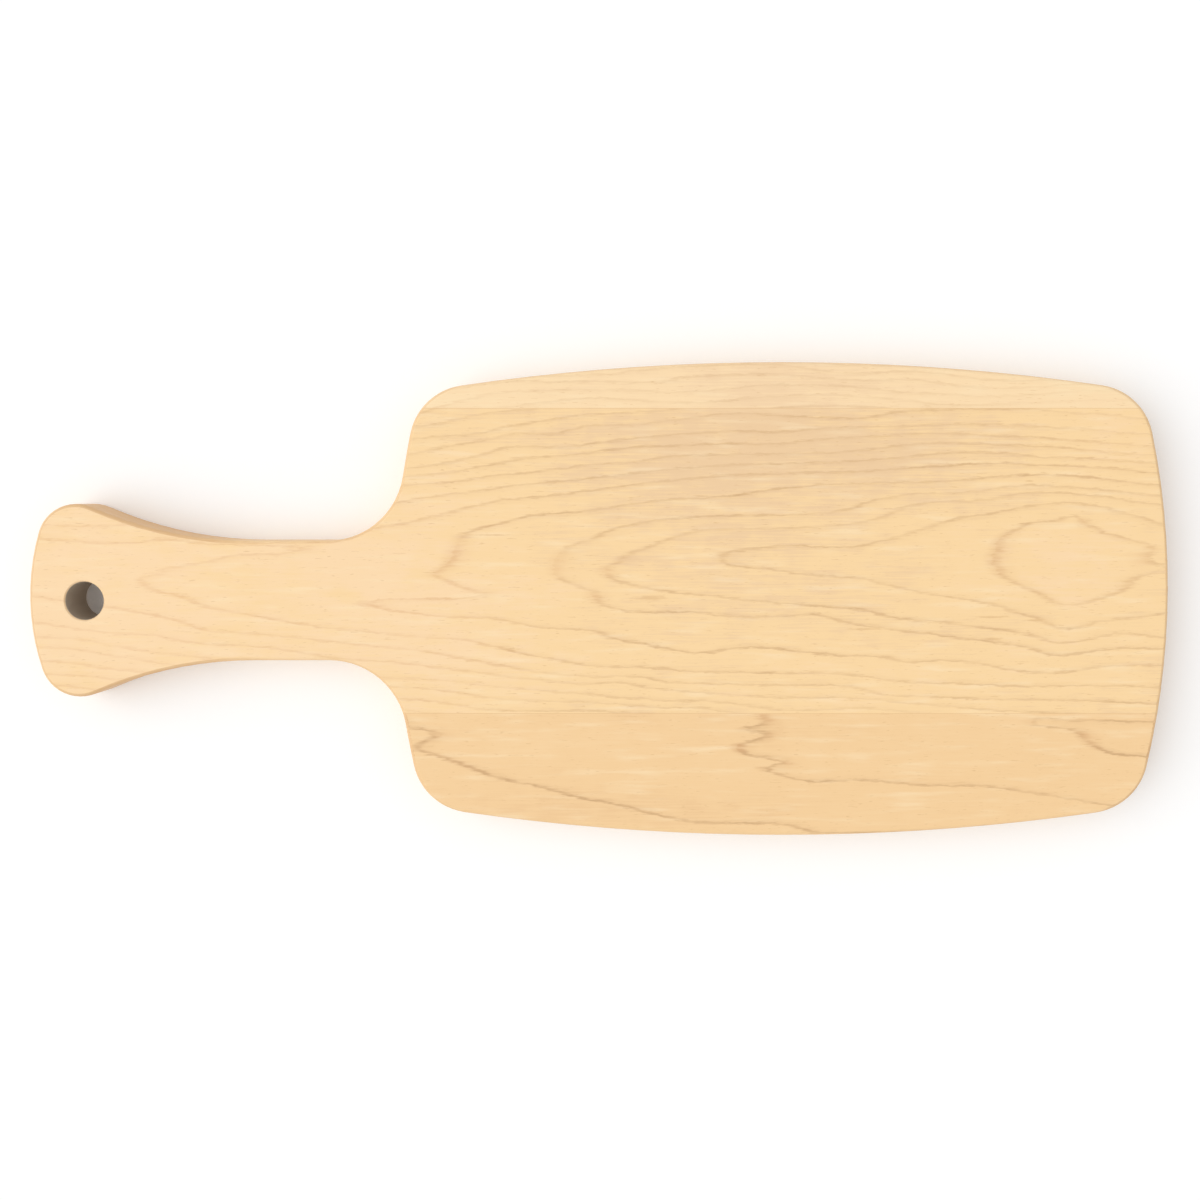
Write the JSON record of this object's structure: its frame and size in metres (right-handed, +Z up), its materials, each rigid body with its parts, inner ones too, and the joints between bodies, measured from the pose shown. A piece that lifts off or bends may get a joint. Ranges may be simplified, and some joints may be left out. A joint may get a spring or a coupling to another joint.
{
  "type": "paddle charcuterie board",
  "caption": "Flat wooden serving paddle: edge-glued staves, a bowed blade with rounded corners, and a flared handle with a round hanging hole.",
  "frame": {"origin": "middle of the board's length and width, in the plane of the underside", "axes": "+X from the handle along the board to the blade's end, +Y across the board to the narrow stave, +Z up out of the serving face"},
  "size_m": [0.4572, 0.1906, 0.019],
  "materials": {
    "maple_back": "sanded, oiled satin",
    "maple_centre": "sanded, oiled satin",
    "maple_front": "sanded, oiled satin",
    "cured_glue": "sanded flush, tan"
  },
  "bodies": {
    "root": {"back_stave": "maple_back", "centre_stave": "maple_centre", "front_stave": "maple_front", "back_glue_line": "cured_glue", "front_glue_line": "cured_glue"}
  },
  "joints": []
}
